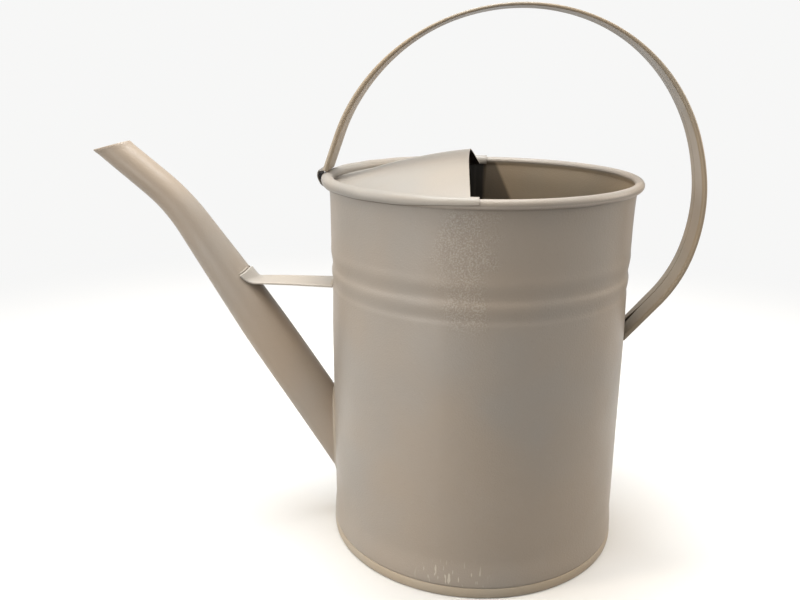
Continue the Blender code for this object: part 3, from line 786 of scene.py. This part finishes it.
def spoutSide(y, z, extra):
    # X of the spout's near side at this Y and height, found between its middle and the wall
    lengths = np.linspace(0, spoutLength, 240)
    cx, cz, _ = spoutCentre(lengths)
    r = spoutRadius(lengths)

    def outside(x):
        away = np.sqrt((x[..., None] - cx) ** 2 + y[..., None] ** 2 + (z[..., None] - cz) ** 2) - r
        return away.min(-1) - extra

    middle = np.interp(z, cz, cx)
    return halve(outside, middle, np.full_like(middle, -can["wallRadius"]))


def bracePiece():
    # rows run from the wall to the spout; the last stretch climbs the spout's side by a power
    # curve, and the outline widens there into two ears
    half = brace["sheet"] / 2
    v = np.linspace(-1, 1, 41)[None, :]
    t = np.concatenate([np.linspace(0, 0.72, 40), np.linspace(0.73, 1, 40)])[:, None]
    level = braceTop - half
    near = float(spoutSide(np.array([0.0]), np.array([level]), 0.0)[0])
    run = -can["wallRadius"] - near
    narrow = brace["bodyWidth"] + (brace["neckWidth"] - brace["bodyWidth"]) * t
    ears = brace["earWidth"] - brace["neckWidth"]
    width = narrow + ears * np.clip((t - 1 + brace["flare"] / run) * run / brace["flare"], 0, 1) ** 1.6
    y = v * width / 2
    climb = brace["lift"] * (1 - 0.35 * v ** 2)
    endZ = level + climb
    endX = spoutSide(y[-1], endZ[0], half + 0.15)[None, :]
    startX = -np.sqrt((can["wallRadius"] + can["gap"]) ** 2 - y[:1] ** 2)
    x = startX + (endX - startX) * t
    toEnd = np.clip(1 - (x - endX) / brace["liftLength"], 0, 1)
    z = level + climb * toEnd ** 2.3
    side = spoutSide(y, z, half + 0.15)
    x = np.maximum(x, side)
    edge = np.clip((np.abs(v) - 0.86) / 0.14, 0, 1)
    z = z + brace["hem"] * np.sin(np.pi * edge) * (1 - smoothStep(t, 0.85, 0.1))
    z = z + 0.12 * ripple(41, 5, x / 9, y / 9)
    return sheetPiece("brace_strip", np.stack([x, y + 0 * x, z], -1), brace["sheet"], 0.4, 50)


finishPiece(bracePiece(), litBracePaint, "spout_brace")


def wallFillet(name, y, z, size):
    # along the wall at this height, between the wall above and a level face
    corner = np.stack([-np.sqrt((can["wallRadius"] + 0.05) ** 2 - y ** 2), y, z], 1)
    outward = corner * (1, 1, 0)
    outward /= np.linalg.norm(outward, axis=1)[:, None]
    size = size[:, None]
    return filletRing(name, corner, outward * size, np.array([0, 0, 1.0]) * size, False)


y = np.linspace(-0.46, 0.46, 40) * brace["bodyWidth"]
fade = np.sqrt(np.clip(1 - (y / (0.47 * brace["bodyWidth"])) ** 2, 0.02, 1))
size = 1.6 * fade * (1 + 0.2 * ripple(51, 4, y / 3))
finishPiece(wallFillet("brace_wall_fillet", y, braceTop + 0.05 + 0 * y, size), beadPaint, "brace_wall_solder")


def earBead(name, side):
    # a flattened bead of solder along the ear's edge, where the brace lies on the spout
    t = np.linspace(0, 1, 36)
    y = side * (1.4 + 6.8 * t)
    z = braceTop + brace["lift"] * (1 - 0.35 * (y / 9.6) ** 2) - 0.1 - 0.6 * t
    x = spoutSide(y, z, 0.0)
    centre = np.stack([x, y, z], 1)
    r = (0.6 * np.sqrt(np.clip(1 - (2 * t - 1) ** 2, 0.01, 1)) * (1 + 0.25 * ripple(61 + side, 4, t * 14)))
    turn = np.linspace(0, 2 * math.pi, 14, endpoint=False)
    along = np.gradient(centre, axis=0)
    along /= np.linalg.norm(along, axis=1)[:, None]
    out = np.stack([0 * x + math.sin(rise), y / 12, 0 * x + math.cos(rise)], 1)
    out -= along * (out * along).sum(1)[:, None]
    out /= np.linalg.norm(out, axis=1)[:, None]
    across = np.cross(along, out)
    ring = centre[:, None] + r[:, None, None] * (
        out[:, None] * (0.62 * np.cos(turn))[None, :, None] + across[:, None] * np.sin(turn)[None, :, None])
    faces = gridFaces(*ring.shape[:2], False, True).tolist()
    count = len(turn)
    caps = [list(range(count))[::-1], list(range((len(ring) - 1) * count, len(ring) * count))]
    return newPiece(name, ring, faces + caps, 60)


finishPiece(earBead("brace_ear_bead_front", -1), beadPaint, "brace_ear_solder_front")
finishPiece(earBead("brace_ear_bead_rear", 1), beadPaint, "brace_ear_solder_rear")


# handle

handle = {
    "width": 22.0,
    "thick": 2.5, "thin": 1.5,                  # over all, near its ends and over the top
    "thinFrom": 45.0, "thinTo": 130.0, "thinSoft": 40.0,
    "lobe": 0.65, "lobeAngle": 50.0,            # bent by hand: out of round in three soft lobes
    "lobeEnd": 10.0,                            # and round again below this angle
    "sheet": 0.55,
    "seam": 3.5,               # the two hems meet this far behind the middle
    "seamGap": 0.5, "seamGapFoot": 1.1, "slot": 3.4,
    "legAngle": 160.0, "turnAngle": -15.0, "footAngle": -40.0, "footRadius": 70.0,
    "centreDrop": 12.0, "legOut": 1.2, "legClearance": 1.3,
}
crimpOut = can["rimTube"] / 2 + can["gap"] + can["coverSheet"]
lean = math.radians(180 - handle["legAngle"])
legEndZ = rimZ + crimpOut + handle["legClearance"]
legEndX = -rimR - handle["legOut"]
hoopZ = can["rimTop"] - handle["centreDrop"]
hoopBack = (handleHigh.x - axisX) / mm
hoopSpan = hoopBack - legEndX - (hoopZ - legEndZ) * math.tan(lean)
hoopRadius = hoopSpan / (1 + 1 / math.cos(lean))
hoopX = hoopBack - hoopRadius


def stripThickness(angle):
    # thick at both ends and thin over the top, with a smooth step between
    top = smoothStep(angle, handle["thinFrom"], handle["thinSoft"])
    top = top - smoothStep(angle, handle["thinTo"], handle["thinSoft"])
    return handle["thick"] + (handle["thin"] - handle["thick"]) * top


def outOfRound(angle):
    # three cosine lobes round the hoop, fading out towards the foot
    lobes = np.cos(3 * np.radians(angle - handle["lobeAngle"]))
    return handle["lobe"] * lobes * smoothStep(angle, handle["lobeEnd"], 20)


def handleLine():
    # the strip's outer face in the upright plane, leg end to wall, with its angle round the hoop
    hoopAngle = np.linspace(handle["legAngle"], handle["turnAngle"], 220)
    a = np.radians(hoopAngle)
    r = hoopRadius + outOfRound(hoopAngle)
    hoop = np.stack([hoopX + r * np.cos(a), hoopZ + r * np.sin(a)], 1)
    legTop = hoop[0]
    down = np.array([-math.sin(lean), -math.cos(lean)])
    reach = (legEndZ - legTop[1]) / down[1]
    leg = legTop + down * reach * np.linspace(1, 0, 16)[:-1, None]
    footAngle = np.linspace(handle["turnAngle"], handle["footAngle"], 30)[1:]
    a = np.radians(footAngle)
    turn = hoop[-1] - handle["footRadius"] * np.array([math.cos(math.radians(handle["turnAngle"])),
                                                       math.sin(math.radians(handle["turnAngle"]))])
    foot = turn + handle["footRadius"] * np.stack([np.cos(a), np.sin(a)], 1)
    line = np.vstack([leg, hoop, foot])
    angle = np.concatenate([np.full(15, 165.0), hoopAngle, footAngle])
    return line, angle


def handlePoints():
    # the sheet's middle: outer face, a round fold at each edge, and two hems that meet at the seam
    line, angle = handleLine()
    tangent = np.gradient(line, axis=0)
    tangent /= np.linalg.norm(tangent, axis=1)[:, None]
    inward = np.stack([tangent[:, 1], -tangent[:, 0]], 1)
    inward *= np.sign(((np.array([hoopX, hoopZ]) - line) * inward).sum(1))[:, None]
    thick = stripThickness(angle)
    half = (thick - handle["sheet"]) / 2
    width = handle["width"] + 0.35 * ripple(71, 5, angle / 14)
    towardsFoot = smoothStep(-angle, 18, 40)
    gapHere = handle["seamGap"] + (handle["seamGapFoot"] - handle["seamGap"]) * towardsFoot
    gapHere = gapHere + 0.18 * ripple(72, 4, angle / 9)
    reach = (width / 2 - handle["sheet"] / 2 - half)[:, None]
    half = half[:, None]
    fold = np.linspace(0, math.pi, 13)[None, :]
    seamY = handle["seam"] + 0.3 * ripple(73, 4, angle / 17)[:, None]
    k = np.linspace(0, 1, 12)[None, :-1]
    flat = np.linspace(0, 1, 22)[None, 1:-1]
    rearHem = (seamY + gapHere[:, None] / 2) * (1 - k) + reach * k
    frontHem = (seamY - gapHere[:, None] / 2) * (1 - k) - reach * k
    rearFold = reach + half * np.sin(fold)
    frontFold = -reach - half * np.sin(fold)
    across = np.hstack([rearHem, rearFold, reach * (1 - 2 * flat), frontFold[:, ::-1], frontHem[:, ::-1]])
    one = np.ones_like(rearHem)
    depth = np.hstack([one * half, half * np.cos(fold), -half * np.ones_like(flat),
                       half * np.cos(fold[:, ::-1]), one * half])
    middle = (handle["sheet"] / 2 + half) + depth
    x = line[:, :1] + inward[:, :1] * middle
    z = line[:, 1:] + inward[:, 1:] * middle
    return np.stack([x, across + 0 * x, z], -1)


def runToWall(points):
    # the foot's last stretch: each line of the strip goes on straight until it is at the wall
    tangent = points[-1] - points[-2]
    tangent /= np.linalg.norm(tangent, axis=1)[:, None]

    def inside(s):
        p = points[-1] + tangent * s[:, None]
        return can["wallRadius"] + can["gap"] - np.hypot(p[:, 0], p[:, 1])

    end = halve(inside, np.zeros(points.shape[1]), np.full(points.shape[1], 60.0))
    t = np.linspace(0, 1, 24)[1:, None]
    return np.concatenate([points, points[-1] + tangent * (end * t)[..., None]])


def openSlot(points):
    # by the wall the two hems draw back from the seam and leave a slot
    share = handle["slot"] / 2 * smoothStep(np.arange(len(points)), len(points) - 9, 12)[:, None]
    k = np.linspace(0, 1, 12)[None, :-1]
    points[:, :11, 1] += share * (1 - k)
    points[:, -11:, 1] -= share * (1 - k[:, ::-1])
    return points


strip = openSlot(runToWall(handlePoints()))
handlePiece = sheetPiece("handle_strip", strip, handle["sheet"], 0.3, 50)
finishPiece(handlePiece, handlePaint, "handle_hoop")


# tab from the handle's outer layer round the outside of the rim

tab = {"width": 16.0, "sheet": 0.6, "overlap": 6.0, "end": -66.0, "standOff": 0.75}


def tabPoints():
    # straight on from the leg's outer layer, a small bend outwards, then round the crimped rim
    line, _ = handleLine()
    legEnd, legUp = line[0], line[1]
    up = (legUp - legEnd) / np.linalg.norm(legUp - legEnd)
    a = np.radians(np.linspace(40, tab["end"], 26))
    r = crimpOut + can["gap"] + tab["sheet"] / 2 + tab["standOff"] * (1 + 1.6 * smoothStep(a, 0.1, 1.1))
    arc = np.stack([-(rimR + r * np.cos(a)), rimZ + r * np.sin(a)], 1)
    inwards = np.array([-up[1], up[0]]) * -1
    start = legEnd + inwards * handle["sheet"] * 1.55
    leg = start + up * tab["overlap"] * np.linspace(1, 0.15, 8)[:, None]
    t = np.linspace(0, 1, 10)[1:-1, None]
    link = leg[-1] * (1 - t) ** 2 + 2 * t * (1 - t) * (leg[-1] - up * 1.6) + arc[0] * t ** 2
    path = np.vstack([leg, link, arc])
    y = np.linspace(-0.5, 0.5, 25)[None, :] * tab["width"]
    x = path[:, :1]
    # the tab keeps to the rim's round, so it falls away towards its edges
    bow = rimR - np.sqrt(rimR ** 2 - y ** 2)
    follow = smoothStep(np.arange(len(path))[:, None], 16, 10)
    return np.stack([x + bow * follow, y + 0 * x, path[:, 1:] + 0 * y], -1)


finishPiece(sheetPiece("handle_rim_tab", tabPoints(), tab["sheet"], 0.35, 50), tabPaint, "handle_hoop")


def rimBead():
    # solder past the tab's end, in the corner under the crimped rim
    a = math.radians(tab["end"] - 9)
    y = np.linspace(-0.34, 0.34, 34) * tab["width"]
    r = rimR + (crimpOut + 0.1) * math.cos(a)
    z = rimZ + (crimpOut + 0.1) * math.sin(a)
    corner = np.stack([-np.sqrt(r ** 2 - y ** 2), y, z + 0 * y], 1)
    fade = np.sqrt(np.clip(1 - (y / (0.35 * tab["width"])) ** 2, 0.02, 1))[:, None]
    out = np.array([-math.cos(a), 0, math.sin(a)])
    side = np.array([-math.sin(a), 0, -math.cos(a)])
    return filletRing("handle_rim_fillet", corner, out * 1.0 * fade, -side * 1.4 * fade, False)


finishPiece(rimBead(), beadPaint, "handle_rim_solder")


def footBead():
    # solder under the foot, in the corner between the wall and the strip's outer face
    inner = strip[-1]
    line = inner[np.argsort(inner[:, 1])]
    y = np.linspace(-0.42, 0.42, 40) * handle["width"]
    z = np.array([line[np.abs(line[:, 1] - v) < 0.9][:, 2].min() for v in y]) - handle["sheet"] / 2
    x = np.sqrt((can["wallRadius"] + 0.05) ** 2 - y ** 2)
    corner = np.stack([x, y, z], 1)
    fade = np.sqrt(np.clip(1 - (y / (0.43 * handle["width"])) ** 2, 0.02, 1))[:, None]
    size = fade * (1.5 + 0.3 * ripple(81, 4, y / 3))[:, None]
    slope = math.radians(90 + handle["footAngle"])
    outward = np.array([math.cos(slope), 0, math.sin(slope)])
    return filletRing("handle_foot_fillet", corner, outward * size, np.array([0, 0, -1.0]) * size, False)


finishPiece(footBead(), beadPaint, "handle_foot_solder")


# floor, light and camera

studio = {
    "floor": (0.82, 0.82, 0.81),
    "ground": (0.93, 0.93, 0.925), "sweep": (0.18, 0.7),
    "seen": (0.93, 0.93, 0.925),                           # what the camera sees past the floor
    "room": ("white", 0.72),           # dim light from all round: tint, strength
    "bounce": ("amber", 0.05),         # and from below
    # each light: place about the can in metres, width, watts, tint, height it is aimed at
    "lights": {
        "overhead": ((-0.05, 0.05, 0.90), 0.50, 7.0, "sky", 0.15),
        "top": ((0.0, -0.35, 0.95), 0.20, 1.0, "warm", 0.15),
        "key": ((-0.60, -0.30, 1.05), 0.12, 1.75, "amber", 0.15),
        "left": ((-1.4, -0.35, 0.45), 0.8, 7.0, "white", 0.12),
        "right": ((1.3, 0.3, 0.5), 0.6, 8.0, "warm", 0.12),
        "lowLeft": ((-0.55, -0.75, 0.05), 0.5, 3.0, "white", 0.0),
    },
}
tints = {
    "white": (1.0, 0.98, 0.95),
    "sky": (0.95, 0.98, 1.0),
    "warm": (1.0, 0.86, 0.70),
    "amber": (1.0, 0.80, 0.55),
}


def makeFloor():
    # a pale sweep: a real lit floor round the can, which passes into an evenly bright ground
    material = bpy.data.materials.new("pale_floor")
    material.use_nodes = True
    tree = material.node_tree
    shader = tree.nodes["Principled BSDF"]
    place = node(tree, "ShaderNodeTexCoord").outputs["Object"]
    shade = ramp(tree, noise(tree, place, 3.0), 0.3, 0.7, (0.0, 1.0))
    pale = studio["floor"]
    colour = mixColour(tree, shade, pale, tuple(c * 0.985 for c in pale))
    tree.links.new(colour, shader.inputs["Base Color"])
    shader.inputs["Roughness"].default_value = 0.9
    shader.inputs["Specular IOR Level"].default_value = 0.1
    away = node(tree, "ShaderNodeVectorMath", operation="LENGTH")
    tree.links.new(place, away.inputs[0])
    bright = node(tree, "ShaderNodeEmission", Color=(*studio["ground"], 1), Strength=1.0)
    sweep = node(tree, "ShaderNodeMixShader")
    tree.links.new(ramp(tree, away.outputs["Value"], *studio["sweep"]), sweep.inputs[0])
    tree.links.new(shader.outputs[0], sweep.inputs[1])
    tree.links.new(bright.outputs[0], sweep.inputs[2])
    tree.links.new(sweep.outputs[0], tree.nodes["Material Output"].inputs["Surface"])
    size = 9.0
    mesh = bpy.data.meshes.new("floor")
    corners = [(-size, -size, 0), (size, -size, 0), (size, size, 0), (-size, size, 0)]
    mesh.from_pydata(corners, [], [(0, 1, 2, 3)])
    mesh.materials.append(material)
    floor = bpy.data.objects.new("floor", mesh)
    bpy.context.scene.collection.objects.link(floor)
    floor.visible_diffuse = False        # so it throws no light back up on the can


def makeLight(name, place, width, watts, tint, aimHeight):
    data = bpy.data.lights.new(name, "AREA")
    data.shape = "DISK"
    data.size = width
    data.energy = watts
    data.color = tints[tint]
    light = bpy.data.objects.new(name, data)
    bpy.context.scene.collection.objects.link(light)
    light.location = Vector(place) + Vector((axisX, axisY, 0))
    aim = Vector((axisX, axisY, aimHeight)) - light.location
    light.rotation_mode = "QUATERNION"
    light.rotation_quaternion = aim.to_track_quat("-Z", "Y")
    light.visible_camera = False


makeFloor()
for name, light in studio["lights"].items():
    makeLight(name, *light)


def makeWorld():
    # one dim light from above the horizon and one from below; the camera sees plain pale instead
    world = bpy.data.worlds.new("studio")
    world.use_nodes = True
    tree = world.node_tree
    room = tree.nodes["Background"]
    room.name = "room"
    bounce = node(tree, "ShaderNodeBackground", name="bounce")
    for part in (room, bounce):
        tint, strength = studio[part.name]
        part.inputs["Color"].default_value = (*tints[tint], 1)
        part.inputs["Strength"].default_value = strength
    axes = node(tree, "ShaderNodeSeparateXYZ")
    tree.links.new(node(tree, "ShaderNodeTexCoord").outputs["Generated"], axes.inputs["Vector"])
    both = node(tree, "ShaderNodeMixShader")
    tree.links.new(ramp(tree, axes.outputs["Z"], -0.08, 0.08), both.inputs[0])
    tree.links.new(bounce.outputs[0], both.inputs[1])
    tree.links.new(room.outputs[0], both.inputs[2])
    seen = node(tree, "ShaderNodeBackground", Color=(*studio["seen"], 1), Strength=1.0)
    choose = node(tree, "ShaderNodeMixShader")
    tree.links.new(node(tree, "ShaderNodeLightPath").outputs["Is Camera Ray"], choose.inputs[0])
    tree.links.new(both.outputs[0], choose.inputs[1])
    tree.links.new(seen.outputs[0], choose.inputs[2])
    tree.links.new(choose.outputs[0], tree.nodes["World Output"].inputs["Surface"])
    bpy.context.scene.world = world


makeWorld()
bpy.context.scene.view_settings.view_transform = "Standard"

view = {
    "lens": 36.05, "sensor": 36.0,
    "place": (0.0, -0.4042, 0.2463),       # about the can's axis, metres
    "turn": 5.727, "down": 16.60, "roll": 0.195,
}
cameraData = bpy.data.cameras.new("camera")
cameraData.lens = view["lens"]
cameraData.sensor_width = view["sensor"]
cameraData.clip_start = 0.02
cameraData.clip_end = 50
camera = bpy.data.objects.new("camera", cameraData)
bpy.context.scene.collection.objects.link(camera)
turn = Matrix.Rotation(math.radians(view["turn"]), 4, "Z")
tip = Matrix.Rotation(math.radians(90 - view["down"]), 4, "X")
roll = Matrix.Rotation(math.radians(view["roll"]), 4, "Z")
stand = Matrix.Translation(Vector(view["place"]) + Vector((axisX, axisY, 0)))
camera.matrix_world = stand @ turn @ tip @ roll
bpy.context.scene.camera = camera
